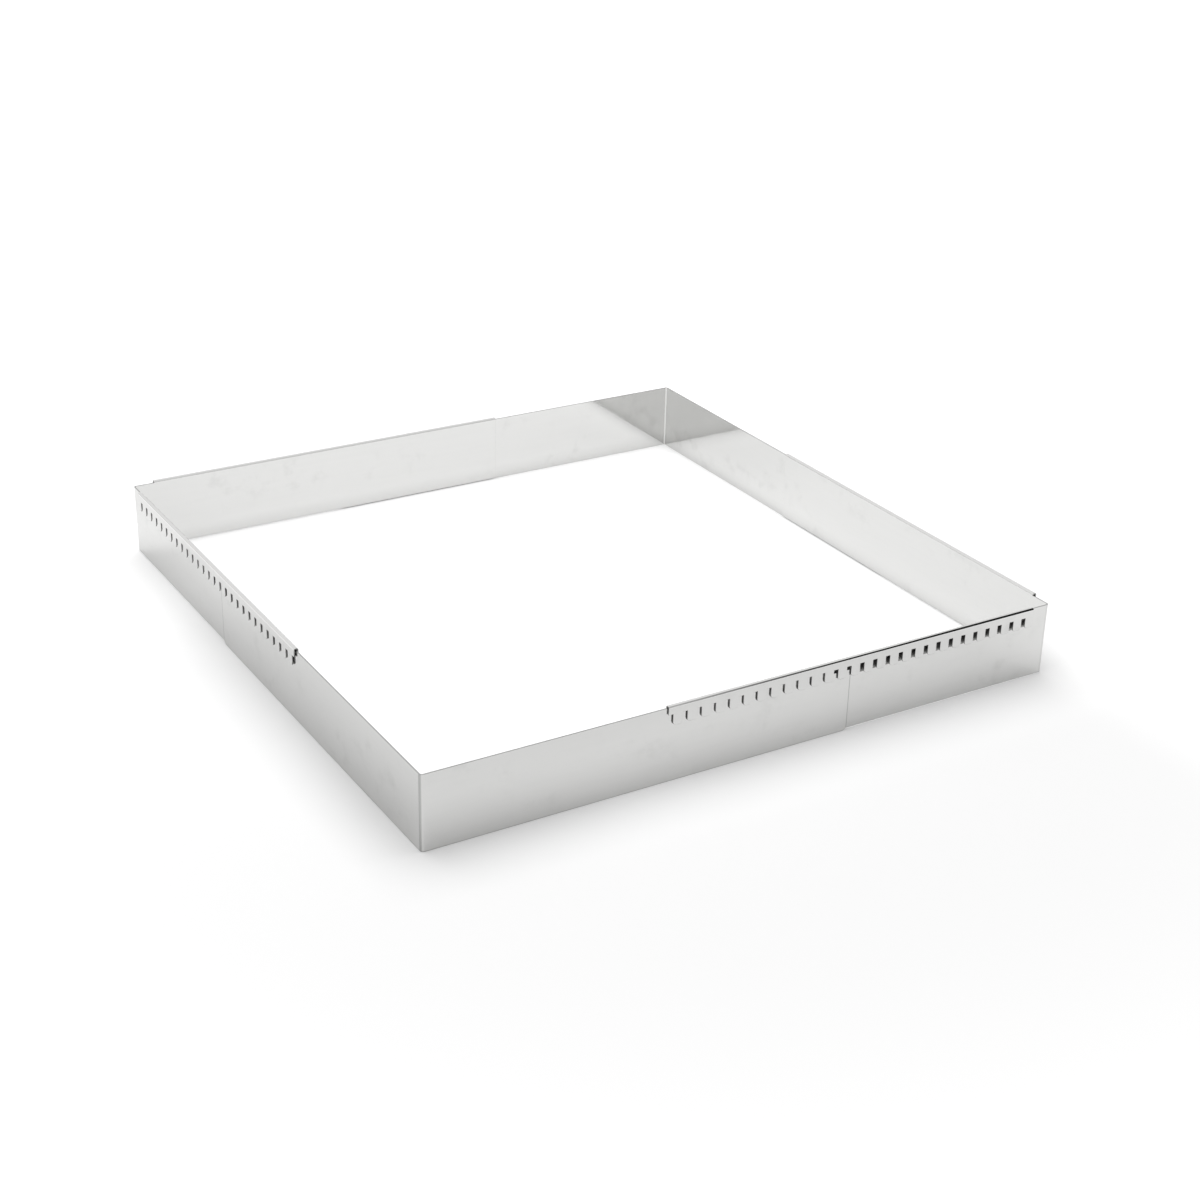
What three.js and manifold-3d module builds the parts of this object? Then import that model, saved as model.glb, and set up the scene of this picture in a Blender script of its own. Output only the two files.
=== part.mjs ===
// Adjustable cake frame: four bent sheets of stainless steel that slide along each other.
// The front and back corners are plain sheets that stand on the table. The right and left
// corners hang inside them from a fold along their top edge. The fold comes down outside the
// plain sheets as a comb, and two tongues near each end of a plain sheet stand in its notches.
// To change the size, a folded corner is lifted until its comb clears the tongues, moved by
// whole notches and let down again.
// Lengths are in millimetres. X runs from the front corner to the right corner, Y from the
// front corner to the left corner, and Z is up. The origin is on the table under the middle.

import * as THREE from "three";
import { mergeVertices } from "three/addons/utils/BufferGeometryUtils.js";
import Module from "manifold-3d";

// Sheet that all four corners are bent from
const SHEET = 0.8;
const WALL_HEIGHT = 50;
const BEND_INNER_RADIUS = 1.2;
const END_ROUND = 3.5; // rounded corners at the free end of a leg

// Fold and comb along the top of the hanging corners
const FOLD_START = 15.2; // plain stretch between a corner and its fold
const FOLD_FLAT = 0.6; // flat crest between the fold's two round shoulders
const BAND_HEIGHT = 5.6; // from the crest of the fold down to the notches
const NOTCH_DEPTH = 7.4;
const NOTCH_WIDTH = 3.3;
const NOTCH_PITCH = 10;
const NOTCH_COUNT = 28;
const CORNER_TOOTH = 6.5; // the tooth beside the plain stretch
const TOOTH_ROUND = 2;

// How the sheets lie against each other
const WALL_GAP = 0.4; // between a plain sheet and the hanging wall inside it
const COMB_GAP = 0.4; // between a plain sheet and the comb outside it
const TONGUE_CLEARANCE = 0.2; // between the top of a tongue and the back of the comb
const HANG = 0.7; // the hanging corners stay this far above the table

// Tongues pressed out of the plain sheets
const TONGUE_COUNT = 2;
const TONGUE_WIDTH = 2.5;
const TONGUE_HEIGHT = 3.6;
const TONGUE_SLIT = 0.3; // cut on each side of a tongue
const TONGUE_OPENING = 2.8; // hole left above a tongue
const TONGUE_END_WALL = 0.85; // sheet left between the last slit and the end of the leg

// Notch, counted from the corner, that the last tongue stands in
const RIGHT_SETTING = 15;
const LEFT_SETTING = 16;

// Pairs of straight steps on a round stretch
const BEND_STEPS = 4;
const EDGE_STEPS = 1;

// Reach of a cut past the face it goes through, and of a joined piece into the next one
const OVERRUN = 1;

// Sizes worked out from those above
const BEND_OUTER_RADIUS = BEND_INNER_RADIUS + SHEET;
const INSET = SHEET + WALL_GAP;
const CHANNEL = WALL_GAP + SHEET + COMB_GAP;
const FOLD_INNER_RADIUS = (CHANNEL - FOLD_FLAT) / 2;
const FOLD_OUTER_RADIUS = FOLD_INNER_RADIUS + SHEET;
const CREST = WALL_HEIGHT + FOLD_OUTER_RADIUS;
const NOTCH_TOP = CREST - BAND_HEIGHT;
const TOOTH_TIP = NOTCH_TOP - NOTCH_DEPTH;
const COMB_OUTER_FACE = CHANNEL + SHEET;
const NOTCH_RUN = (NOTCH_COUNT - 1) * NOTCH_PITCH;
const LEG_LENGTH = FOLD_START + CORNER_TOOTH + NOTCH_RUN + NOTCH_WIDTH;
const FIRST_NOTCH = FOLD_START + CORNER_TOOTH + NOTCH_WIDTH / 2;
const WINDOW_WIDTH = TONGUE_WIDTH + 2 * TONGUE_SLIT;
const WINDOW_HEIGHT = TONGUE_HEIGHT + TONGUE_OPENING;
const TONGUE_FROM_END = TONGUE_END_WALL + WINDOW_WIDTH / 2;
const TONGUE_HINGE = NOTCH_TOP - WINDOW_HEIGHT;
const TONGUE_STAND = COMB_GAP - TONGUE_CLEARANCE;

const wasm = await Module();
wasm.setup();

// Turns that only swap axes, so that faces meant to be flush stay flush.
// The outline's plane becomes X and Z, and its thickness runs towards -Y.
const UPRIGHT = new THREE.Matrix4().set(1, 0, 0, 0, 0, 0, -1, 0, 0, 1, 0, 0, 0, 0, 0, 1);
// The outline's plane becomes Y and Z, and its length runs along X.
const ALONG_LEG = new THREE.Matrix4().set(0, 0, 1, 0, 1, 0, 0, 0, 0, 1, 0, 0, 0, 0, 0, 1);
// X and Y change places, which makes the leg along Y from the leg along X.
const OTHER_LEG = new THREE.Matrix4().set(0, 1, 0, 0, 1, 0, 0, 0, 0, 0, 1, 0, 0, 0, 0, 1);

function extrude(shape, depth, curveSegments) {
  return new THREE.ExtrudeGeometry(shape, { depth, curveSegments, bevelEnabled: false });
}

// A flat piece of sheet whose outer face lies at the given y and whose outline is in X and Z.
function uprightSheet(shape, outerFace, curveSegments) {
  return extrude(shape, SHEET, curveSegments)
    .applyMatrix4(UPRIGHT)
    .translate(0, outerFace + SHEET, 0);
}

// A profile in Y and Z that runs along the leg from one x to another.
function alongLeg(shape, from, to, curveSegments) {
  return extrude(shape, to - from, curveSegments)
    .applyMatrix4(ALONG_LEG)
    .translate(from, 0, 0);
}

function mergedByPlace(geometry) {
  const bare = geometry.clone();
  bare.deleteAttribute("normal");
  bare.deleteAttribute("uv");
  return mergeVertices(bare);
}

function solidOf(geometry) {
  const merged = mergedByPlace(geometry);
  return new wasm.Manifold(
    new wasm.Mesh({
      numProp: 3,
      vertProperties: merged.getAttribute("position").array,
      triVerts: new Uint32Array(merged.index.array),
    }),
  );
}

// The same piece on the other leg. Swapping two axes turns the faces round, so each triangle
// is listed the other way.
function onOtherLeg(geometry) {
  const swapped = mergedByPlace(geometry).applyMatrix4(OTHER_LEG);
  const index = swapped.index.array;
  for (let i = 0; i < index.length; i += 3) {
    const second = index[i + 1];
    index[i + 1] = index[i + 2];
    index[i + 2] = second;
  }
  return swapped;
}

function geometryOf(solid) {
  const mesh = solid.getMesh();
  const geometry = new THREE.BufferGeometry();
  geometry.setAttribute("position", new THREE.BufferAttribute(new Float32Array(mesh.vertProperties), 3));
  geometry.setIndex(new THREE.BufferAttribute(new Uint32Array(mesh.triVerts), 1));
  geometry.computeVertexNormals();
  return geometry;
}

// One bent corner: the bend itself, and the pieces of one leg put on both legs.
function cornerGeometry(bend, legPieces, legCuts) {
  let solid = solidOf(bend);
  for (const piece of legPieces) {
    solid = solid.add(solidOf(piece)).add(solidOf(onOtherLeg(piece)));
  }
  for (const cut of legCuts) {
    solid = solid.subtract(solidOf(cut)).subtract(solidOf(onOtherLeg(cut)));
  }
  return geometryOf(solid);
}

// The vertical bend with a short stretch of both legs, from one height to another.
function bendGeometry(bottom, top) {
  const plan = new THREE.Shape();
  plan.moveTo(FOLD_START, 0);
  plan.lineTo(FOLD_START, SHEET);
  plan.lineTo(BEND_OUTER_RADIUS, SHEET);
  plan.absarc(BEND_OUTER_RADIUS, BEND_OUTER_RADIUS, BEND_INNER_RADIUS, -Math.PI / 2, Math.PI, true);
  plan.lineTo(SHEET, FOLD_START);
  plan.lineTo(0, FOLD_START);
  plan.lineTo(0, BEND_OUTER_RADIUS);
  plan.absarc(BEND_OUTER_RADIUS, BEND_OUTER_RADIUS, BEND_OUTER_RADIUS, Math.PI, -Math.PI / 2, false);
  plan.closePath();
  return extrude(plan, top - bottom, BEND_STEPS).translate(0, 0, bottom);
}

// The flat wall of a leg. Its lower free corner is round, and the upper one where it is bare.
function wallGeometry(bottom, top, topIsBare) {
  const inner = LEG_LENGTH - END_ROUND;
  const outline = new THREE.Shape();
  outline.moveTo(BEND_OUTER_RADIUS, bottom);
  outline.lineTo(inner, bottom);
  outline.absarc(inner, bottom + END_ROUND, END_ROUND, -Math.PI / 2, 0, false);
  if (topIsBare) {
    outline.lineTo(LEG_LENGTH, top - END_ROUND);
    outline.absarc(inner, top - END_ROUND, END_ROUND, 0, Math.PI / 2, false);
  } else {
    outline.lineTo(LEG_LENGTH, top);
  }
  outline.lineTo(BEND_OUTER_RADIUS, top);
  outline.closePath();
  return uprightSheet(outline, 0, BEND_STEPS);
}

// The fold over the top edge of the plain sheet, from the hanging wall to the comb.
function foldGeometry() {
  const wallSide = -FOLD_INNER_RADIUS;
  const combSide = FOLD_INNER_RADIUS - CHANNEL;
  const foot = WALL_HEIGHT - OVERRUN;
  const profile = new THREE.Shape();
  profile.moveTo(SHEET, foot);
  profile.lineTo(SHEET, WALL_HEIGHT);
  profile.absarc(wallSide, WALL_HEIGHT, FOLD_OUTER_RADIUS, 0, Math.PI / 2, false);
  profile.absarc(combSide, WALL_HEIGHT, FOLD_OUTER_RADIUS, Math.PI / 2, Math.PI, false);
  profile.lineTo(-COMB_OUTER_FACE, foot);
  profile.lineTo(-CHANNEL, foot);
  profile.lineTo(-CHANNEL, WALL_HEIGHT);
  profile.absarc(combSide, WALL_HEIGHT, FOLD_INNER_RADIUS, Math.PI, Math.PI / 2, true);
  profile.absarc(wallSide, WALL_HEIGHT, FOLD_INNER_RADIUS, Math.PI / 2, 0, true);
  profile.lineTo(0, foot);
  profile.closePath();
  return alongLeg(profile, FOLD_START, LEG_LENGTH, BEND_STEPS);
}

// The lower edge of one tooth, from its side away from the corner to its side towards it.
function addTooth(outline, farSide, nearSide) {
  const roundLevel = TOOTH_TIP + TOOTH_ROUND;
  outline.lineTo(farSide, NOTCH_TOP);
  outline.lineTo(farSide, roundLevel);
  outline.absarc(farSide - TOOTH_ROUND, roundLevel, TOOTH_ROUND, 0, -Math.PI / 2, true);
  outline.absarc(nearSide + TOOTH_ROUND, roundLevel, TOOTH_ROUND, -Math.PI / 2, -Math.PI, true);
}

// The comb that hangs outside the plain sheet. The notch at the free end is open to the side.
function combGeometry() {
  const outline = new THREE.Shape();
  outline.moveTo(FOLD_START, WALL_HEIGHT);
  outline.lineTo(LEG_LENGTH, WALL_HEIGHT);
  outline.lineTo(LEG_LENGTH, NOTCH_TOP);
  for (let tooth = NOTCH_COUNT - 1; tooth > 0; tooth -= 1) {
    const notchBefore = FIRST_NOTCH + (tooth - 1) * NOTCH_PITCH;
    const farSide = notchBefore + NOTCH_PITCH - NOTCH_WIDTH / 2;
    const nearSide = notchBefore + NOTCH_WIDTH / 2;
    addTooth(outline, farSide, nearSide);
    outline.lineTo(nearSide, NOTCH_TOP);
  }
  addTooth(outline, FOLD_START + CORNER_TOOTH, FOLD_START);
  outline.closePath();
  return uprightSheet(outline, -COMB_OUTER_FACE, EDGE_STEPS);
}

function tonguePlaces() {
  const places = [];
  for (let i = 0; i < TONGUE_COUNT; i += 1) {
    places.push(LEG_LENGTH - TONGUE_FROM_END - i * NOTCH_PITCH);
  }
  return places;
}

// The hole that a tongue is pressed out of.
function windowGeometry(place) {
  return new THREE.BoxGeometry(WINDOW_WIDTH, SHEET + 2 * OVERRUN, WINDOW_HEIGHT).translate(
    place,
    SHEET / 2,
    TONGUE_HINGE + WINDOW_HEIGHT / 2,
  );
}

// A tongue stays joined to the sheet along its foot and leans outwards.
function tongueGeometry(place) {
  const top = TONGUE_HINGE + TONGUE_HEIGHT;
  const profile = new THREE.Shape();
  profile.moveTo(0, TONGUE_HINGE - OVERRUN);
  profile.lineTo(SHEET, TONGUE_HINGE - OVERRUN);
  profile.lineTo(SHEET, TONGUE_HINGE);
  profile.lineTo(SHEET - TONGUE_STAND, top);
  profile.lineTo(-TONGUE_STAND, top);
  profile.lineTo(0, TONGUE_HINGE);
  profile.closePath();
  return alongLeg(profile, place - TONGUE_WIDTH / 2, place + TONGUE_WIDTH / 2, EDGE_STEPS);
}

// A corner that stands on the table, with its tongues.
function standingCornerGeometry() {
  const walls = cornerGeometry(
    bendGeometry(0, WALL_HEIGHT),
    [wallGeometry(0, WALL_HEIGHT, true)],
    tonguePlaces().map(windowGeometry),
  );
  return cornerGeometry(walls, tonguePlaces().map(tongueGeometry), []);
}

// A corner that hangs inside the standing ones, with its fold and comb.
function hangingCornerGeometry() {
  return cornerGeometry(
    bendGeometry(HANG, HANG + WALL_HEIGHT),
    [wallGeometry(HANG, WALL_HEIGHT, false), foldGeometry(), combGeometry()],
    [],
  );
}

function polishedSteel() {
  return new THREE.MeshStandardMaterial({
    name: "polished_steel",
    color: 0xd9dbdc,
    metalness: 1,
    roughness: 0.2,
    flatShading: true,
  });
}

function cornerMesh(name, geometry, x, y, quarterTurns) {
  const mesh = new THREE.Mesh(geometry, polishedSteel());
  mesh.name = name;
  mesh.position.set(x, y, 0);
  mesh.rotation.z = (quarterTurns * Math.PI) / 2;
  return mesh;
}

// How far a folded corner lies from the front corner when its notch holds the last tongue.
function spanAt(setting) {
  return LEG_LENGTH - TONGUE_FROM_END + FIRST_NOTCH + (setting - 1) * NOTCH_PITCH;
}

const spanX = spanAt(RIGHT_SETTING);
const spanY = spanAt(LEFT_SETTING);
const standing = standingCornerGeometry();
const hanging = hangingCornerGeometry();

const group = new THREE.Group();
group.add(cornerMesh("front_corner", standing, 0, 0, 0));
group.add(cornerMesh("right_corner", hanging, spanX, INSET, 1));
group.add(cornerMesh("back_corner", standing, spanX + INSET, spanY + INSET, 2));
group.add(cornerMesh("left_corner", hanging, INSET, spanY, 3));
group.position.set(-(spanX + INSET) / 2, -(spanY + INSET) / 2, 0);

export default group;
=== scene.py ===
"""Dresses an adjustable cake frame: four bent steel sheets, seen in a soft white studio.

Lengths are in metres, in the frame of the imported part: X runs from the front corner to the
right corner, Y from the front corner to the left corner, and Z is up.
"""

import math

import bmesh
import bpy
from mathutils import Matrix, Vector


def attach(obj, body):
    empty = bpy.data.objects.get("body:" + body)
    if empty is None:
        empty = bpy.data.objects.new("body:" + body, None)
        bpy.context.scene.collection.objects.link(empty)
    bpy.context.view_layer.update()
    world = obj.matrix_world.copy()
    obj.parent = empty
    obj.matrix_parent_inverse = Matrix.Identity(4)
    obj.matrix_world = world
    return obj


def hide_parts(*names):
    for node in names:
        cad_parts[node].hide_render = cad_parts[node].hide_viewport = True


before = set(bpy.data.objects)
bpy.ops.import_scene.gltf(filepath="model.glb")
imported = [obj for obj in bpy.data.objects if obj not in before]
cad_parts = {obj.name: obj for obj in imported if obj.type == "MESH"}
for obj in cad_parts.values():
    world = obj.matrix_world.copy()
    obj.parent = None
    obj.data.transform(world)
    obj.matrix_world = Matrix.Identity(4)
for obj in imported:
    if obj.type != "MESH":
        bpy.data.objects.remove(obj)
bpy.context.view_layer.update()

MM = 0.001

# The sheet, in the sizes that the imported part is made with
SHEET = 0.8 * MM
WALL_HEIGHT = 50 * MM
BEND_INNER = 1.2 * MM
BEND_OUTER = BEND_INNER + SHEET
LEG_LENGTH = 295 * MM
END_ROUND = 3.5 * MM
HANG = 0.7 * MM

# The fold along the top of the hanging corners, and the comb at its outer side
FOLD_START = 15.2 * MM
FOLD_FLAT = 0.6 * MM
FOLD_OUTER = 1.3 * MM
FOLD_INNER = FOLD_OUTER - SHEET
FOLD_LENGTH = FOLD_FLAT + math.pi / 2 * (FOLD_INNER + FOLD_OUTER)
CHANNEL = 1.6 * MM
NOTCH_TOP = 45.7 * MM
TOOTH_TIP = 38.3 * MM
TOOTH_ROUND = 2 * MM
NOTCH_WIDTH = 3.3 * MM
NOTCH_PITCH = 10 * MM
NOTCH_COUNT = 28
FIRST_NOTCH = 23.35 * MM

# The tongues near each free end of the standing corners
TONGUE_PLACES = (282.6 * MM, 292.6 * MM)
TONGUE_WIDTH = 2.5 * MM
TONGUE_SLIT = 0.3 * MM
TONGUE_HINGE = 39.3 * MM
TONGUE_TOP = 42.9 * MM
TONGUE_STAND = 0.2 * MM
TONGUE_ROUND = 0.9 * MM

# Half the outside width and length of the frame at rest, and how far inside the hanging walls lie
HALF_X = 228.575 * MM
HALF_Y = 233.575 * MM
INSET = 1.2 * MM

# How finely round stretches are cut up: steps from the middle of the bend to its end, on a
# quarter turn of the fold, and on a rounded tip
BEND_STEPS = 12
FOLD_STEPS = 8
TIP_STEPS = 5

# The longest steps along and over the flat stretches, on a tongue, and at a leg's rounded end
ALONG_STEP = 12 * MM
HEIGHT_STEP = 8 * MM
TONGUE_STEP = 1.3 * MM
STANDING_END_STEP = 0.45 * MM
HANGING_END_STEP = 0.7 * MM

# Places closer than this are one place
SAME_PLACE = 1e-7

# Edges are eased by this much, where the faces turn by more than this many degrees
EASED_EDGE = 0.15 * MM
EASED_TURN = 50

# The lines of painted shade on the bright face, along the bend, at the free end and at the foot, and the
# painted highlight along the crest of the fold: how far each lies off the bend's middle or the free end,
# and its half width. The crest's is a share of the fold's length.
BEND_LINE_SHIFT = 0.9 * MM
BEND_LINE_HALF = 1.3 * MM
END_LINE_SHIFT = 0.3 * MM
END_LINE_HALF = 0.5 * MM
FOOT_LINE_HALF = 0.6 * MM
CREST_LINE_SHARE = 0.6

# How much of the painted shade along the bend shows on a standing and on a hanging sheet
STANDING_BEND_SHADE = 1.0
HANGING_BEND_SHADE = 0.25

# Each sheet takes its marks from another stretch of the patterns, this far from the last one's
MARKS_SHIFT = 0.37

# The bright face: the sizes of its grain, waves and smudges, how strongly they tint it, its
# roughness and what each mark adds to it, and the heights of its relief
GRAIN_WIDTH = 0.25 * MM
WAVE_LENGTH = 32 * MM
SMUDGE_SIZE = 16 * MM
GRAIN_TINT = 0.1
HAZE_TINT = 0.8
FACE_ROUGH = 0.065
GRAIN_ROUGH = 0.015
HAZE_ROUGH = 0.045
SCRATCH_ROUGH = 0.03
# Roughness added along the lines of painted shade
PAINTED_SHADE_ROUGH = 0.18
WAVE_RELIEF = 0.07 * MM
GRAIN_RELIEF = 0.0012 * MM
SCRATCH_DEPTH = -0.6

# The sheet inside the fold, darkened by painted shade
INSIDE_GRAIN_WIDTH = 0.4 * MM
INSIDE_SMUDGE_SIZE = 10 * MM
INSIDE_HAZE_TINT = 0.5
INSIDE_ROUGH = 0.33
INSIDE_HAZE_ROUGH = 0.1
INSIDE_RELIEF = 0.002 * MM

# The sheared and the punched edges
TEAR_WIDTH = 0.6 * MM
EDGE_ROUGH = 0.32
TEAR_ROUGH = 0.15
TEAR_RELIEF = 0.02 * MM
TEAR_STRENGTH = 0.5

# Colours of the steel: clean, under a smudge, with painted shade along the bend, the free ends and the
# foot, with a painted highlight on the crest of the fold, seen at a grazing angle, inside the fold under
# painted shade, and sheared and punched, these edges darkened partly by painted shade
STEEL = (0.665, 0.665, 0.657, 1)
STEEL_HAZED = (0.6, 0.6, 0.592, 1)
STEEL_PAINTED_SHADE = (0.44, 0.44, 0.435, 1)
# Painted highlight along the crest of the fold
STEEL_PAINTED_HIGHLIGHT = (0.72, 0.72, 0.712, 1)
STEEL_GRAZING = (0.85, 0.85, 0.85, 1)
# Painted shade inside the fold, lighter and deeper
INSIDE_SHADE_LIGHT = (0.3, 0.3, 0.296, 1)
INSIDE_SHADE_DEEP = (0.21, 0.21, 0.207, 1)
# Sheared edges: darker partly as sheared metal and partly as painted shade along the feet and edges
EDGE_BRIGHT = (0.48, 0.48, 0.475, 1)
EDGE_DARK = (0.28, 0.28, 0.275, 1)
# Punched edges, in the notches, slits and windows: darker still, with painted shade in these recesses
PUNCHED_SHADE_PALE = (0.3, 0.3, 0.296, 1)
PUNCHED_SHADE_DARK = (0.2, 0.2, 0.197, 1)

# The camera: lens in millimetres, place, and yaw, pitch and roll in degrees
LENS = 62.64
CAMERA_PLACE = (-0.66179, -1.12822, 0.63304)
CAMERA_TURNS = (-31.39, 64.409, 1.4155)

# The soft box overhead
LAMP_PLACE = (-0.03, 0.12, 0.95)
LAMP_AIM = (-0.03, 0.12, 0)
LAMP_SIZE = (1.1, 1.1)
LAMP_POWER = 9

# The room as a light
ROOM_LIGHT = 0.55

# The unlit part of the room, as the metal sees it. Each row has two places along a direction's
# X, or Y, and the values there.
ROOM_DIM = (0.1, 0.3, 0.0, 0.18)
ROOM_DARK = (0.44, 0.57, 0.0, 0.8)
ROOM_DEPTH_SHIFT = (0.57, 0.615, 0.0, 0.5)
ROOM_DEPTH = (-0.12, 0.1, 1.0, 0.0)

# The floor: its half side, colour and roughness
FLOOR_HALF_SIDE = 6
FLOOR_COLOUR = (0.86, 0.86, 0.86, 1)
FLOOR_ROUGH = 0.9

# How much whiter than its colour the floor shows: paler away from the object, and painted light in
# patches by the frame that lightens its shadow there. Each row has two places and the values there.
# Distance is from the middle of the frame, reach is a share of the frame's half width or half
# length, and x, y and the depth before a side are in metres.
FLOOR_BY_DISTANCE = (0.3, 1.1, 0.02, 0.6)
INSIDE_BY_REACH = (0.8, 0.98, 0.11, 0.17)
INSIDE_BACK_STOP = (0.95, 1.03, 1.0, 0.0)
INSIDE_FRONT_STOP = (0.88, 1.0, 1.0, 0.0)
RIGHT_WALL_ACROSS = (0.3, 0.9, 0.0, 0.07)
RIGHT_WALL_ALONG = (0.3, 0.8, 1.0, 0.0)
LEFT_FOOT_ALONG = (-0.22, 0.1, -0.035, 0.065)
LEFT_FOOT_DEPTH = (0.0, 0.05, 1.0, 0.0)
LEFT_FOOT_START = (-HALF_Y, -HALF_Y + 0.06, 0.0, 1.0)
RIGHT_FOOT_ALONG = (-0.2, -0.05, 0.0, 0.065)
RIGHT_FOOT_DEPTH = (0.0, 0.075, 1.0, 0.0)
LEFT_SIDE_ALONG = (0.02, 0.16, 0.0, 0.12)
LEFT_SIDE_STOP = (-HALF_X, -HALF_X + 0.035, 1.0, 0.0)
RIGHT_END_BY_REACH = (0.88, 1.3, 0.0, 0.13)
LEFT_END_BY_REACH = (0.9, 1.04, 0.0, 0.1)

# The finishes of a sheet, in the order of its material slots. The rim and the punched edges are partly
# painted shade, and INSIDE is painted shade inside the fold
FACE, RIM, PUNCHED, INSIDE = range(4)

# Each corner: its piece, its CAD node, its body, the place of its outer corner, its quarter turns
CORNERS = (
    ("front_sheet", "front_corner", "front", (-HALF_X, -HALF_Y), 0),
    ("right_sheet", "right_corner", "right", (HALF_X - INSET, INSET - HALF_Y), 1),
    ("back_sheet", "back_corner", "back", (HALF_X, HALF_Y), 2),
    ("left_sheet", "left_corner", "left", (INSET - HALF_X, HALF_Y - INSET), 3),
)


def stops(start, end, longest):
    """Evenly spaced places from start to end, no further apart than longest."""
    count = max(1, math.ceil(abs(end - start) / longest - 1e-6))
    return [start + (end - start) * i / count for i in range(count + 1)]


def merged(*groups):
    """All places of the groups in order, each once."""
    kept = []
    for place in sorted(place for group in groups for place in group):
        if not kept or place - kept[-1] > SAME_PLACE:
            kept.append(place)
    return kept


def refined(places, start, longest):
    """The places, with more of them from start on, so that none lie further apart than longest."""
    spans = [span for span in zip(places, places[1:]) if span[0] >= start]
    return merged(places, *(stops(*span, longest) for span in spans))


def round_stops(side, inwards, radius):
    """Places across a rounded corner."""
    return stops(side, side + inwards * radius, radius / TIP_STEPS)


def round_rise(distance, radius):
    """How far a rounded corner's edge stands back, at a distance from its side."""
    if distance >= radius:
        return 0.0
    return radius - math.sqrt(max(0.0, radius**2 - (radius - distance) ** 2))


class Leg:
    """Places along a sheet: 0 in the middle of the bend, and a leg on either side of it."""

    half_bend = math.pi / 4 * (BEND_INNER + BEND_OUTER) / 2

    @classmethod
    def from_corner(cls, distance):
        """Place on the sheet at a distance from the outer corner, measured along the leg."""
        return distance - BEND_OUTER + cls.half_bend

    @classmethod
    def to_corner(cls, place):
        """The distance from the outer corner of a place on a straight leg."""
        return abs(place) + BEND_OUTER - cls.half_bend

    @classmethod
    def bend_places(cls):
        """Places round the bend."""
        return [cls.half_bend * i / BEND_STEPS for i in range(-BEND_STEPS, BEND_STEPS + 1)]

    @classmethod
    def point(cls, place, outwards, height):
        """The point of a place on the sheet, at a distance outwards from its outer face."""
        if abs(place) > cls.half_bend:
            along = cls.to_corner(place)
            if place > 0:
                return Vector((along, -outwards, height))
            return Vector((-outwards, along, height))
        turn = math.radians(-135) + place / cls.half_bend * math.pi / 4
        reach = BEND_OUTER + outwards
        return Vector(
            (BEND_OUTER + reach * math.cos(turn), BEND_OUTER + reach * math.sin(turn), height)
        )


def on_both_legs(distances):
    """Places on both legs at these distances from the outer corner."""
    one = [Leg.from_corner(distance) for distance in distances]
    return merged(one, [-place for place in one])


def sheet_mesh(name, places, rows, point, rim_at, last_rim, inside_at=None):
    """A sheet of metal as a closed mesh.

    places run along the sheet and rows over its height. point(place, row, face) gives a point
    of face 0, which is outside on the wall, or face 1, and the row's place over the height of
    the flat blank. rim_at(i, j) gives the finish round a missing cell between two places and two
    rows, and None where the metal stays. last_rim is the finish beyond the last row and at the
    free ends, and inside_at(i, j) tells where face 0 lies inside the fold.
    """
    bm = bmesh.new()
    flat = bm.loops.layers.uv.new("flat_blank")
    across = len(rows)
    corners = {}

    def corner(i, j, face):
        key = (i * across + j, face)
        if key not in corners:
            position, height = point(places[i], rows[j], face)
            corners[key] = (bm.verts.new(position), (places[i] + face, height))
        return corners[key]

    def add(cells, material):
        made = bm.faces.new([corner(*cell)[0] for cell in cells])
        made.smooth = True
        made.material_index = material
        for loop, cell in zip(made.loops, cells):
            loop[flat].uv = corner(*cell)[1]

    def rim_beside(i, j):
        if j == across - 1 or not 0 <= i < len(places) - 1:
            return last_rim
        return rim_at(i, j) if j >= 0 else RIM

    for i in range(len(places) - 1):
        for j in range(across - 1):
            if rim_at(i, j):
                continue
            cell = ((i, j), (i + 1, j), (i + 1, j + 1), (i, j + 1))
            # Face 0 inside the fold takes the painted shade of the INSIDE slot
            add([(*at, 0) for at in cell], INSIDE if inside_at and inside_at(i, j) else FACE)
            add([(*at, 1) for at in reversed(cell)], FACE)
            sides = ((i, j - 1), (i + 1, j), (i, j + 1), (i - 1, j))
            for side, beyond in enumerate(sides):
                rim = rim_beside(*beyond)
                if rim:
                    start, end = cell[side], cell[(side + 1) % 4]
                    add([(*end, 0), (*start, 0), (*start, 1), (*end, 1)], rim)
    bmesh.ops.remove_doubles(bm, verts=bm.verts, dist=SAME_PLACE)
    bmesh.ops.recalc_face_normals(bm, faces=bm.faces)
    mesh = bpy.data.meshes.new(name)
    bm.to_mesh(mesh)
    bm.free()
    return mesh


def end_rise(place):
    """How far the rounded lower end of a leg stands back from its edge."""
    return round_rise(Leg.from_corner(LEG_LENGTH) - abs(place), END_ROUND)


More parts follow.
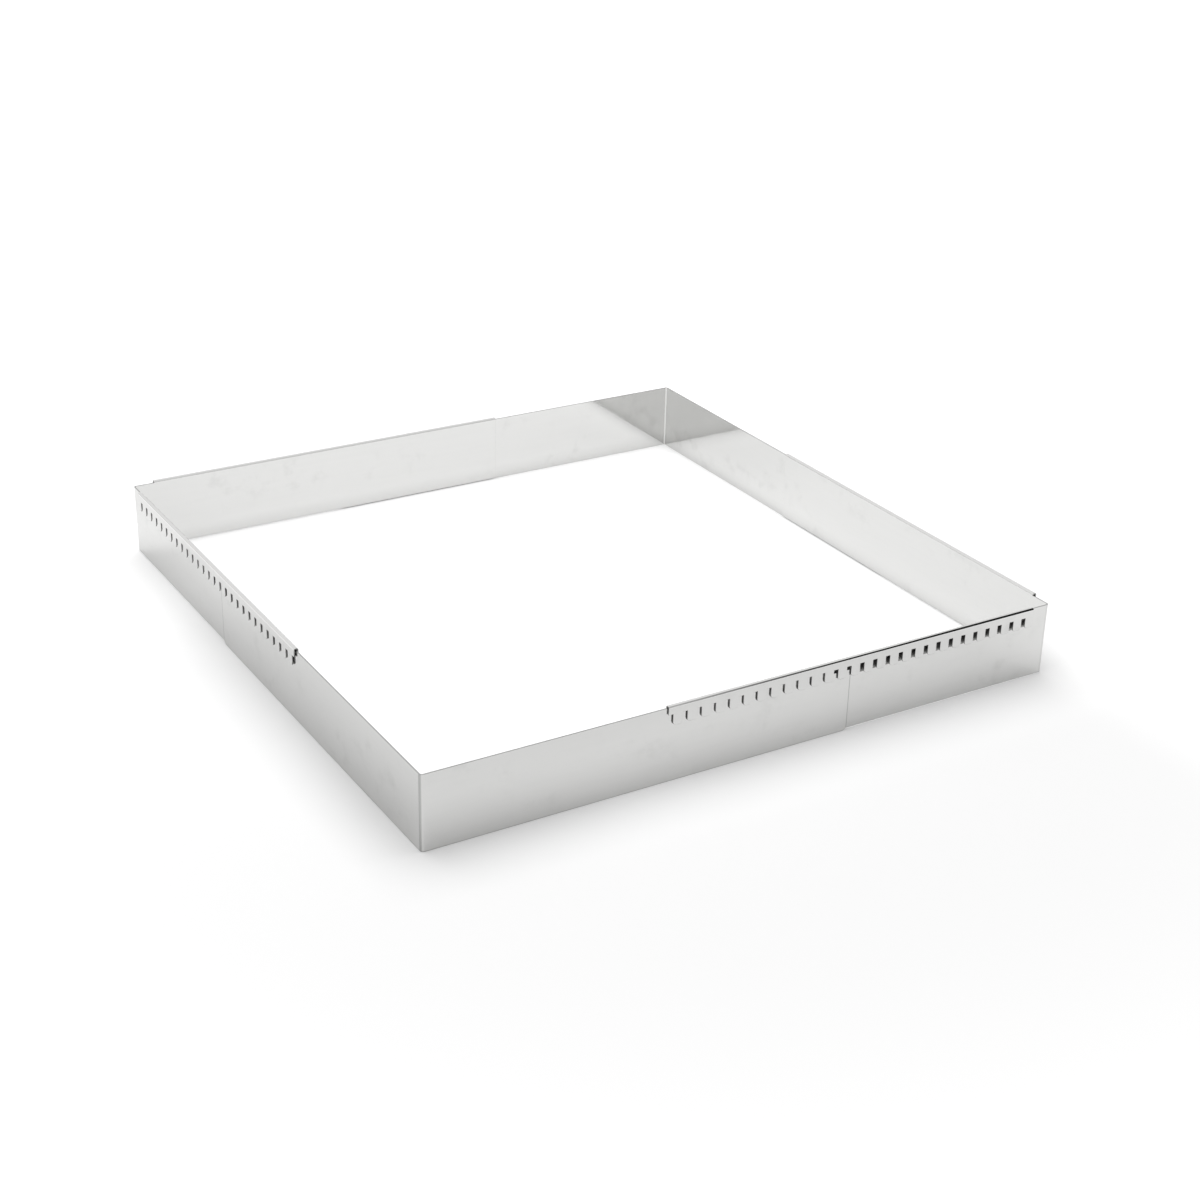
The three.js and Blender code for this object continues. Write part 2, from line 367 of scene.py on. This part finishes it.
def standing_mesh(name):
    """A corner that stands on the table. Two tongues near each free end are pressed outwards."""
    half = TONGUE_WIDTH / 2
    window = [
        place + side * (half + slit)
        for place in TONGUE_PLACES
        for side in (-1, 1)
        for slit in (0.0, TONGUE_SLIT)
    ]
    tongue_tips = [
        stop
        for place in TONGUE_PLACES
        for side in (-1, 1)
        for stop in round_stops(place + side * half, -side, TONGUE_ROUND)
    ]
    distances = merged(
        stops(BEND_OUTER, TONGUE_PLACES[0] - half - TONGUE_SLIT, ALONG_STEP),
        window,
        tongue_tips,
        [LEG_LENGTH],
    )
    distances = refined(distances, LEG_LENGTH - END_ROUND, STANDING_END_STEP)
    places = merged(on_both_legs(distances), Leg.bend_places())
    rows = merged(
        [0.0, END_ROUND],
        stops(END_ROUND, TONGUE_HINGE, HEIGHT_STEP),
        stops(TONGUE_HINGE, TONGUE_TOP, TONGUE_STEP),
        [NOTCH_TOP, WALL_HEIGHT - END_ROUND, WALL_HEIGHT],
    )

    def tongue_offset(place):
        """Distance from the middle of the nearest tongue."""
        at = Leg.to_corner(place)
        return min(abs(at - middle) for middle in TONGUE_PLACES)

    def rim_at(i, j):
        middle = (places[i] + places[i + 1]) / 2
        offset = tongue_offset(middle)
        level = (rows[j] + rows[j + 1]) / 2
        if offset > half + TONGUE_SLIT or not TONGUE_HINGE < level < NOTCH_TOP:
            return None
        return PUNCHED if offset > half or level > TONGUE_TOP else None

    def point(place, row, face):
        height = row
        outwards = -face * SHEET
        if row <= END_ROUND:
            rise = end_rise(place)
            height = rise + row * (END_ROUND - rise) / END_ROUND
        elif row >= WALL_HEIGHT - END_ROUND:
            rise = end_rise(place)
            share = (WALL_HEIGHT - row) / END_ROUND
            height = WALL_HEIGHT - rise - share * (END_ROUND - rise)
        offset = tongue_offset(place)
        if offset <= half + SAME_PLACE and TONGUE_HINGE < row <= TONGUE_TOP:
            share = (row - TONGUE_HINGE) / (TONGUE_TOP - TONGUE_HINGE)
            outwards += TONGUE_STAND * math.sin(share * math.pi / 2)
            height -= share**2 * round_rise(half - offset, TONGUE_ROUND)
        return Leg.point(place, outwards, height), height

    return sheet_mesh(name, places, rows, point, rim_at, RIM)


def fold_profile():
    """The hanging sheet from its lower edge over the fold to the tips of the comb.

    Each row has the points of face 0 and face 1 as (outwards, height), and its place on the
    flat blank.
    """
    profile = []
    for height in merged(
        [HANG, HANG + END_ROUND],
        stops(HANG + END_ROUND, TOOTH_TIP, HEIGHT_STEP),
        stops(TOOTH_TIP, WALL_HEIGHT, HEIGHT_STEP),
    ):
        profile.append(((0.0, height), (-SHEET, height), height))
    shoulders = ((FOLD_INNER, 0), (CHANNEL - FOLD_INNER, 1))
    length = WALL_HEIGHT
    for centre, shoulder in shoulders:
        for i in range(FOLD_STEPS + 1):
            turn = math.pi - math.pi / 2 * (shoulder + i / FOLD_STEPS)
            if shoulder == 0 and i == 0:
                continue
            if i == 0:
                length += FOLD_FLAT
            else:
                length += math.pi / 2 / FOLD_STEPS * (FOLD_INNER + FOLD_OUTER) / 2
            reach = (math.cos(turn), math.sin(turn))
            near, far = (
                (centre + radius * reach[0], WALL_HEIGHT + radius * reach[1])
                for radius in (FOLD_INNER, FOLD_OUTER)
            )
            profile.append((near, far, length))
    for height in (NOTCH_TOP, TOOTH_TIP + TOOTH_ROUND, TOOTH_TIP):
        row = ((CHANNEL, height), (CHANNEL + SHEET, height), length + WALL_HEIGHT - height)
        profile.append(row)
    return profile


def hanging_mesh(name):
    """A corner that hangs from its fold, whose comb lies outside the standing sheet."""
    first = FIRST_NOTCH - NOTCH_WIDTH / 2
    tooth_sides = [(FOLD_START, first)]
    for tooth in range(1, NOTCH_COUNT):
        near = FIRST_NOTCH + (tooth - 1) * NOTCH_PITCH + NOTCH_WIDTH / 2
        tooth_sides.append((near, near + NOTCH_PITCH - NOTCH_WIDTH))
    tips = [
        stop
        for near, far in tooth_sides
        for side, inwards in ((near, 1), (far, -1))
        for stop in round_stops(side, inwards, TOOTH_ROUND)
    ]
    distances = merged([BEND_OUTER], tips, [LEG_LENGTH])
    distances = refined(distances, LEG_LENGTH - END_ROUND, HANGING_END_STEP)
    places = merged(on_both_legs(distances), Leg.bend_places())
    profile = fold_profile()
    rows = list(range(len(profile)))
    wall_rows = sum(1 for row in profile if row[2] <= WALL_HEIGHT)
    comb_row = len(profile) - 3
    shade_row = min(row for row in rows if profile[row][2] > TOOTH_TIP - SAME_PLACE)

    def tooth_offset(distance):
        """Distance from the nearest side of the tooth that a place lies in, or None."""
        for near, far in tooth_sides:
            if near - SAME_PLACE <= distance <= far + SAME_PLACE:
                return max(0.0, min(distance - near, far - distance))
        return None

    def rim_at(i, j):
        distance = Leg.to_corner((places[i] + places[i + 1]) / 2)
        if j < wall_rows - 1:
            return None
        if distance < FOLD_START:
            return RIM
        return PUNCHED if j >= comb_row and tooth_offset(distance) is None else None

    # Face 0 from the tooth tips up, inside the fold and on the comb's inner face, takes the painted
    # shade
    def inside_at(i, j):
        return j >= shade_row and Leg.to_corner((places[i] + places[i + 1]) / 2) > FOLD_START

    def point(place, row, face):
        (outwards, height), length = profile[row][face], profile[row][2]
        if row < 2:
            rise = end_rise(place)
            height = HANG + rise + (height - HANG) * (END_ROUND - rise) / END_ROUND
            length = height
        if row == len(profile) - 1:
            rise = round_rise(tooth_offset(Leg.to_corner(place)) or 0.0, TOOTH_ROUND)
            height += rise
            length -= rise
        return Leg.point(place, outwards, height), length

    return sheet_mesh(name, places, rows, point, rim_at, PUNCHED, inside_at)


def sheet_piece(name, node, body, corner, quarter_turns, mesh, finishes):
    """Puts a sheet where its CAD node is, with its edges eased, and lets it move with its body."""
    piece = bpy.data.objects.new(name, mesh)
    bpy.context.scene.collection.objects.link(piece)
    piece.matrix_world = Matrix.Translation((*corner, 0)) @ Matrix.Rotation(
        quarter_turns * math.pi / 2, 4, "Z"
    )
    for finish in finishes:
        mesh.materials.append(finish)
    eased = piece.modifiers.new("eased_edges", "BEVEL")
    eased.width = EASED_EDGE
    eased.segments = 2
    eased.limit_method = "ANGLE"
    eased.angle_limit = math.radians(EASED_TURN)
    eased.material = RIM
    eased.harden_normals = True
    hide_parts(node)
    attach(piece, body)


class Nodes:
    """Adds nodes to a node tree and links them, in few words."""

    def __init__(self, tree):
        self.tree = tree

    def add(self, kind, settings=None, **inputs):
        """A node of a kind. Each input is a value, or the output of another node."""
        node = self.tree.nodes.new(kind)
        for setting, value in (settings or {}).items():
            setattr(node, setting, value)
        for socket, value in inputs.items():
            self.feed(node, int(socket[1:]) if socket[1:].isdigit() else socket, value)
        return node

    def feed(self, node, socket, value):
        """Sets an input of a node, or links it."""
        entry = node.inputs[socket.replace("_", " ") if isinstance(socket, str) else socket]
        if isinstance(value, bpy.types.NodeSocket):
            self.tree.links.new(value, entry)
        else:
            entry.default_value = value

    def math(self, operation, first, second=0.0, third=0.0):
        """The result of a sum on numbers."""
        node = self.add("ShaderNodeMath", {"operation": operation}, _0=first, _1=second, _2=third)
        return node.outputs[0]

    def product(self, first, *others):
        """The product of numbers."""
        for other in others:
            first = self.math("MULTIPLY", first, other)
        return first

    def between(self, value, low, high, to_low=0.0, to_high=1.0):
        """value's place between low and high, eased at both ends, as a number from to_low to to_high."""
        node = self.add(
            "ShaderNodeMapRange",
            {"interpolation_type": "SMOOTHSTEP"},
            Value=value,
            From_Min=low,
            From_Max=high,
            To_Min=to_low,
            To_Max=to_high,
        )
        return node.outputs["Result"]

    def noise(self, place, scale, detail=2.0, roughness=0.5):
        """A cloudy pattern, from 0 to 1."""
        node = self.add(
            "ShaderNodeTexNoise", Vector=place, Scale=scale, Detail=detail, Roughness=roughness
        )
        return node.outputs["Fac"]

    def stretched(self, place, along, across):
        """A place with its two flat directions scaled apart."""
        node = self.add(
            "ShaderNodeVectorMath", {"operation": "MULTIPLY"}, _0=place, _1=(along, across, 1.0)
        )
        return node.outputs[0]


def node_group(name, inputs, outputs):
    """An empty shader node group with these sockets, and its input and output nodes."""
    group = bpy.data.node_groups.new(name, "ShaderNodeTree")
    kinds = {"place": "NodeSocketVector", "number": "NodeSocketFloat"}
    for socket, kind, value in inputs:
        made = group.interface.new_socket(socket, in_out="INPUT", socket_type=kinds[kind])
        made.default_value = value
    for socket in outputs:
        group.interface.new_socket(socket, in_out="OUTPUT", socket_type="NodeSocketFloat")
    nodes = Nodes(group)
    entry = nodes.add("NodeGroupInput")
    result = nodes.add("NodeGroupOutput")
    return group, nodes, entry.outputs, result


def rolled_grain():
    """Fine lines along the sheet, left by rolling and polishing it."""
    group, nodes, given, result = node_group(
        "rolled_grain",
        (("Blank", "place", (0, 0, 0)), ("Line Width", "number", 0.0003)),
        ("Height", "Streaks"),
    )
    fineness = nodes.math("DIVIDE", 1.0, given["Line Width"])
    fine = nodes.noise(nodes.stretched(given["Blank"], 0.02, 1.0), fineness, 3.0, 0.6)
    broad = nodes.noise(
        nodes.stretched(given["Blank"], 0.06, 1.0), nodes.math("MULTIPLY", fineness, 0.09), 2.0
    )
    nodes.feed(result, "Height", fine)
    streaks = nodes.between(nodes.math("ADD", nodes.math("MULTIPLY", fine, 0.4), broad), 0.5, 0.95)
    nodes.feed(result, "Streaks", streaks)
    return group


def sheet_waviness():
    """Shallow waves that a thin sheet keeps after it is bent."""
    group, nodes, given, result = node_group(
        "sheet_waviness",
        (("Blank", "place", (0, 0, 0)), ("Wave Length", "number", 0.03)),
        ("Height",),
    )
    scale = nodes.math("DIVIDE", 1.0, given["Wave Length"])
    long_waves = nodes.noise(nodes.stretched(given["Blank"], 0.6, 1.0), scale, 1.0)
    dimples = nodes.noise(given["Blank"], nodes.math("MULTIPLY", scale, 3.1), 1.0)
    height = nodes.math("MULTIPLY_ADD", dimples, 0.12, long_waves)
    nodes.feed(result, "Height", height)
    return group


def handling_marks():
    """Hazy smudges from hands and drying, and thin scratches from sliding the sheets."""
    group, nodes, given, result = node_group(
        "handling_marks",
        (("Blank", "place", (0, 0, 0)), ("Smudge Size", "number", 0.02)),
        ("Haze", "Scratches"),
    )
    scale = nodes.math("DIVIDE", 1.0, given["Smudge Size"])
    clouds = nodes.noise(given["Blank"], scale, 4.0, 0.6)
    patches = nodes.noise(given["Blank"], nodes.math("MULTIPLY", scale, 0.35), 1.0)
    haze = nodes.math("MULTIPLY", nodes.between(clouds, 0.48, 0.72), nodes.between(patches, 0.45, 0.65))
    nodes.feed(result, "Haze", haze)
    lines = nodes.noise(nodes.stretched(given["Blank"], 0.012, 1.0), 900.0, 1.0)
    where = nodes.noise(given["Blank"], nodes.math("MULTIPLY", scale, 0.5), 2.0)
    scratches = nodes.math("MULTIPLY", nodes.between(lines, 0.66, 0.74), nodes.between(where, 0.5, 0.68))
    nodes.feed(result, "Scratches", scratches)
    return group


def painted_line_mask():
    """A line mask, for painted shade along a bend or an edge and for the painted highlight on the crest.
    """
    group, nodes, given, result = node_group(
        "painted_line_mask",
        (("Distance", "number", 0.0), ("Half Width", "number", 0.001)),
        ("Line",),
    )
    share = nodes.math("DIVIDE", nodes.math("ABSOLUTE", given["Distance"]), given["Half Width"])
    nodes.feed(result, "Line", nodes.between(share, 0.45, 1.0, 1.0, 0.0))
    return group


def placed_group(nodes, group, **inputs):
    """A node group in a material, with its inputs fed."""
    node = nodes.add("ShaderNodeGroup", {"node_tree": group})
    for socket, value in inputs.items():
        nodes.feed(node, socket, value)
    return node.outputs


def metal(name):
    """A metal material with its node helper, its shader and the flat blank's places."""
    material = bpy.data.materials.new(name)
    material.use_nodes = True
    nodes = Nodes(material.node_tree)
    shader = material.node_tree.nodes["Principled BSDF"]
    shader.inputs["Metallic"].default_value = 1
    blank = nodes.add("ShaderNodeUVMap", {"uv_map": "flat_blank"}).outputs["UV"]
    return material, nodes, shader, blank


def bright_sheet(name, shift, foot, bend_shade, groups):
    """The bright face of one sheet, whose lower edge is at the height foot.

    shift moves its marks, so that no two sheets look alike. The argument after foot is how much of the
    painted shade along its bend shows. Lines of painted shade darken the face along the bend, at the
    free ends and, on the outer face, at the foot.
    """
    material, nodes, shader, blank = metal(name)
    moved = nodes.add(
        "ShaderNodeVectorMath", {"operation": "ADD"}, _0=blank, _1=(shift, 2 * shift, 0)
    ).outputs[0]
    grain = placed_group(nodes, groups["grain"], Blank=moved, Line_Width=GRAIN_WIDTH)
    waves = placed_group(nodes, groups["waves"], Blank=moved, Wave_Length=WAVE_LENGTH)
    marks = placed_group(nodes, groups["marks"], Blank=moved, Smudge_Size=SMUDGE_SIZE)
    along, up, _ = nodes.add("ShaderNodeSeparateXYZ", Vector=blank).outputs
    from_end = nodes.math("SUBTRACT", nodes.math("ABSOLUTE", along), Leg.from_corner(LEG_LENGTH))
    at_bend, at_end, at_foot, crest_highlight = (
        placed_group(nodes, groups["line"], Distance=distance, Half_Width=half_width)["Line"]
        for distance, half_width in (
            (nodes.math("ADD", along, BEND_LINE_SHIFT), BEND_LINE_HALF),
            (nodes.math("ADD", from_end, END_LINE_SHIFT), END_LINE_HALF),
            (nodes.math("SUBTRACT", up, foot), FOOT_LINE_HALF),
            (
                nodes.math("SUBTRACT", up, WALL_HEIGHT + FOLD_LENGTH / 2),
                FOLD_LENGTH * CREST_LINE_SHARE,
            ),
        )
    )
    # The blank's places of face 1 are 1 higher along the sheet, so this is 1 on face 0 only
    outside = nodes.between(along, 0.4, 0.6, 1.0, 0.0)
    # Painted shade: dark lines along the bend, at the free ends and, on face 0, at the foot
    painted_shade = nodes.math("MULTIPLY_ADD", at_bend, bend_shade, at_end)
    painted_shade = nodes.math("MULTIPLY_ADD", at_foot, outside, painted_shade)
    smudged = nodes.math("MULTIPLY", marks["Haze"], HAZE_TINT)
    tint = nodes.add(
        "ShaderNodeMix",
        {"data_type": "RGBA"},
        Factor=nodes.math("MULTIPLY_ADD", grain["Streaks"], GRAIN_TINT, smudged),
        A=STEEL,
        B=STEEL_HAZED,
    )
    # Painted highlight: the crest of the fold is lightened, then the lines of painted shade are darkened
    for share, colour in ((crest_highlight, STEEL_PAINTED_HIGHLIGHT), (painted_shade, STEEL_PAINTED_SHADE)):
        tint = nodes.add(
            "ShaderNodeMix", {"data_type": "RGBA"}, Factor=share, A=tint.outputs["Result"], B=colour
        )
    nodes.feed(shader, "Base Color", tint.outputs["Result"])
    nodes.feed(shader, "Specular_Tint", STEEL_GRAZING)
    rough = nodes.math("MULTIPLY_ADD", grain["Streaks"], GRAIN_ROUGH, FACE_ROUGH)
    rough = nodes.math("MULTIPLY_ADD", marks["Haze"], HAZE_ROUGH, rough)
    rough = nodes.math("MULTIPLY_ADD", marks["Scratches"], SCRATCH_ROUGH, rough)
    rough = nodes.math("MULTIPLY_ADD", painted_shade, PAINTED_SHADE_ROUGH, rough)
    nodes.feed(shader, "Roughness", rough)
    wavy = nodes.add("ShaderNodeBump", Height=waves["Height"], Strength=1.0, Distance=WAVE_RELIEF)
    fine = nodes.math("MULTIPLY_ADD", marks["Scratches"], SCRATCH_DEPTH, grain["Height"])
    lined = nodes.add(
        "ShaderNodeBump", Height=fine, Strength=1.0, Distance=GRAIN_RELIEF, Normal=wavy.outputs["Normal"]
    )
    nodes.feed(shader, "Normal", lined.outputs["Normal"])
    return material


def painted_shade_inside(groups):
    """The sheet inside the fold, which no polishing wheel reaches: rough, and darkened by painted shade,
    more so along its grain and under smudges.
    """
    material, nodes, shader, blank = metal("painted_shade_inside")
    grain = placed_group(nodes, groups["grain"], Blank=blank, Line_Width=INSIDE_GRAIN_WIDTH)
    marks = placed_group(nodes, groups["marks"], Blank=blank, Smudge_Size=INSIDE_SMUDGE_SIZE)
    tint = nodes.add(
        "ShaderNodeMix",
        {"data_type": "RGBA"},
        Factor=nodes.math("MULTIPLY_ADD", marks["Haze"], INSIDE_HAZE_TINT, grain["Streaks"]),
        A=INSIDE_SHADE_LIGHT,
        B=INSIDE_SHADE_DEEP,
    )
    nodes.feed(shader, "Base Color", tint.outputs["Result"])
    rough = nodes.math("MULTIPLY_ADD", marks["Haze"], INSIDE_HAZE_ROUGH, INSIDE_ROUGH)
    nodes.feed(shader, "Roughness", rough)
    lined = nodes.add("ShaderNodeBump", Height=grain["Height"], Strength=1.0, Distance=INSIDE_RELIEF)
    nodes.feed(shader, "Normal", lined.outputs["Normal"])
    return material


def cut_edge(name, dark, bright, groups):
    """The sheared rim of a sheet: duller than its faces, with short tear marks, and darker, partly as
    sheared metal and partly as painted shade.
    """
    material, nodes, shader, blank = metal(name)
    tears = placed_group(nodes, groups["grain"], Blank=blank, Line_Width=TEAR_WIDTH)
    tint = nodes.add(
        "ShaderNodeMix", {"data_type": "RGBA"}, Factor=tears["Height"], A=dark, B=bright
    )
    nodes.feed(shader, "Base Color", tint.outputs["Result"])
    rough = nodes.math("MULTIPLY_ADD", tears["Streaks"], TEAR_ROUGH, EDGE_ROUGH)
    nodes.feed(shader, "Roughness", rough)
    torn = nodes.add(
        "ShaderNodeBump", Height=tears["Height"], Strength=TEAR_STRENGTH, Distance=TEAR_RELIEF
    )
    nodes.feed(shader, "Normal", torn.outputs["Normal"])
    return material


def add_camera():
    """The camera at the photograph's viewing angle."""
    data = bpy.data.cameras.new("camera")
    data.lens = LENS
    camera = bpy.data.objects.new("camera", data)
    camera.location = CAMERA_PLACE
    yaw, pitch, roll = (math.radians(turn) for turn in CAMERA_TURNS)
    camera.rotation_euler = (
        Matrix.Rotation(yaw, 3, "Z") @ Matrix.Rotation(pitch, 3, "X") @ Matrix.Rotation(roll, 3, "Z")
    ).to_euler()
    bpy.context.scene.collection.objects.link(camera)
    bpy.context.scene.camera = camera


def shows_background(nodes):
    """1 for the rays that show the background: the camera's, mirrored and refracted ones."""
    rays = nodes.add("ShaderNodeLightPath").outputs
    seen = nodes.math("MAXIMUM", rays["Is Camera Ray"], rays["Is Glossy Ray"])
    return nodes.math("MAXIMUM", seen, rays["Is Transmission Ray"])


def floor_lift(nodes):
    """How much whiter than its colour the floor shows, at each place on it.

    Painted light lightens the floor's shadow in patches. These are fitted side by side with the walls,
    which mirror the floor beside them: inside the frame, at the feet of the two front sides, at the back
    end of the left side, and beyond the right and the left corner.
    """
    place = nodes.add("ShaderNodeTexCoord").outputs["Object"]
    distance = nodes.add("ShaderNodeVectorMath", {"operation": "LENGTH"}, _0=place).outputs["Value"]
    x, y, _ = nodes.add("ShaderNodeSeparateXYZ", Vector=place).outputs
    across = nodes.math("DIVIDE", x, HALF_X)
    along = nodes.math("DIVIDE", y, HALF_Y)
    back_reach = nodes.math("MAXIMUM", across, along)
    backwards = (nodes.math("MULTIPLY", across, -1), nodes.math("MULTIPLY", along, -1))
    front_reach = nodes.math("MAXIMUM", *backwards)
    reach = nodes.math("MAXIMUM", back_reach, front_reach)
    by_right_wall = nodes.product(
        nodes.between(across, *RIGHT_WALL_ACROSS), nodes.between(along, *RIGHT_WALL_ALONG)
    )
    # Painted light: patches that lighten the floor's shadow by the frame
    inside = nodes.product(
        nodes.math("ADD", nodes.between(reach, *INSIDE_BY_REACH), by_right_wall),
        nodes.between(back_reach, *INSIDE_BACK_STOP),
        nodes.between(front_reach, *INSIDE_FRONT_STOP),
    )
    from_left = nodes.math("ABSOLUTE", nodes.math("ADD", x, HALF_X))
    from_front = nodes.math("ABSOLUTE", nodes.math("ADD", y, HALF_Y))
    left_foot = nodes.product(
        nodes.between(y, *LEFT_FOOT_ALONG),
        nodes.between(from_left, *LEFT_FOOT_DEPTH),
        nodes.between(y, *LEFT_FOOT_START),
    )
    right_foot = nodes.product(
        nodes.between(x, *RIGHT_FOOT_ALONG), nodes.between(from_front, *RIGHT_FOOT_DEPTH)
    )
    left_side = nodes.product(nodes.between(y, *LEFT_SIDE_ALONG), nodes.between(x, *LEFT_SIDE_STOP))
    right_end = nodes.between(across, *RIGHT_END_BY_REACH)
    left_end = nodes.between(along, *LEFT_END_BY_REACH)
    lift = nodes.between(distance, *FLOOR_BY_DISTANCE)
    for patch in (inside, left_foot, right_foot, left_side, right_end, left_end):
        lift = nodes.math("ADD", lift, patch)
    return lift


def add_floor():
    """A pale floor that pales to white away from the object, with painted light in patches by the frame.
    """
    bm = bmesh.new()
    bmesh.ops.create_grid(bm, x_segments=8, y_segments=8, size=FLOOR_HALF_SIDE)
    mesh = bpy.data.meshes.new("floor")
    bm.to_mesh(mesh)
    bm.free()
    floor = bpy.data.objects.new("floor", mesh)
    bpy.context.scene.collection.objects.link(floor)
    material = bpy.data.materials.new("white_table")
    material.use_nodes = True
    nodes = Nodes(material.node_tree)
    shader = material.node_tree.nodes["Principled BSDF"]
    shader.inputs["Base Color"].default_value = FLOOR_COLOUR
    shader.inputs["Roughness"].default_value = FLOOR_ROUGH
    shader.inputs["Specular IOR Level"].default_value = 0.0
    shader.inputs["Emission Color"].default_value = (1, 1, 1, 1)
    seen_lift = nodes.product(floor_lift(nodes), shows_background(nodes))
    nodes.feed(shader, "Emission Strength", seen_lift)
    mesh.materials.append(material)


def add_lamp(name, place, aim, size, power):
    """A soft box that points at a place."""
    data = bpy.data.lights.new(name, "AREA")
    data.shape = "RECTANGLE"
    data.size, data.size_y = size
    data.energy = power
    lamp = bpy.data.objects.new(name, data)
    lamp.location = place
    lamp.visible_glossy = False
    lamp.rotation_euler = (Vector(aim) - Vector(place)).to_track_quat("-Z", "Y").to_euler()
    bpy.context.scene.collection.objects.link(lamp)


def set_world():
    """A white room, full white where the camera or the metal sees it and paler as a light.

    The metal also sees the unlit part of the room, in front and on the right.
    """
    world = bpy.data.worlds.new("white_room")
    bpy.context.scene.world = world
    world.use_nodes = True
    world.node_tree.nodes.clear()
    nodes = Nodes(world.node_tree)
    direction = nodes.add("ShaderNodeTexCoord").outputs["Generated"]
    x, y, _ = nodes.add("ShaderNodeSeparateXYZ", Vector=direction).outputs
    dark = nodes.math("ADD", nodes.between(x, *ROOM_DIM), nodes.between(x, *ROOM_DARK))
    depth = nodes.math("SUBTRACT", y, nodes.between(x, *ROOM_DEPTH_SHIFT))
    dark = nodes.math("MULTIPLY", dark, nodes.between(depth, *ROOM_DEPTH))
    rays = nodes.add("ShaderNodeLightPath").outputs
    seen_white = nodes.math("SUBTRACT", 1.0, dark)
    as_seen = nodes.math("MAXIMUM", seen_white, rays["Is Camera Ray"])
    strength = nodes.add(
        "ShaderNodeMix", Factor=shows_background(nodes), A=ROOM_LIGHT, B=as_seen
    ).outputs["Result"]
    background = nodes.add("ShaderNodeBackground", Color=(1, 1, 1, 1), Strength=strength)
    output = nodes.add("ShaderNodeOutputWorld")
    world.node_tree.links.new(background.outputs["Background"], output.inputs["Surface"])


scene = bpy.context.scene
scene.view_settings.view_transform = "Standard"

groups = {
    "grain": rolled_grain(),
    "waves": sheet_waviness(),
    "marks": handling_marks(),
    "line": painted_line_mask(),
}
hidden_finishes = (
    cut_edge("cut_edge", EDGE_DARK, EDGE_BRIGHT, groups),
    # The punched edges, darkened by painted shade in the notches, slits and windows
    cut_edge("punched_edge", PUNCHED_SHADE_DARK, PUNCHED_SHADE_PALE, groups),
    # The painted shade inside the fold
    painted_shade_inside(groups),
)
for number, (name, node, body, corner, quarter_turns) in enumerate(CORNERS):
    if quarter_turns % 2:
        make, foot, bend_shade = hanging_mesh, HANG, HANGING_BEND_SHADE
    else:
        make, foot, bend_shade = standing_mesh, 0.0, STANDING_BEND_SHADE
    face = bright_sheet("bright_" + body, MARKS_SHIFT * number, foot, bend_shade, groups)
    sheet_piece(name, node, body, corner, quarter_turns, make(name), (face, *hidden_finishes))

add_camera()
add_floor()
add_lamp("overhead_softbox", LAMP_PLACE, LAMP_AIM, LAMP_SIZE, LAMP_POWER)
set_world()
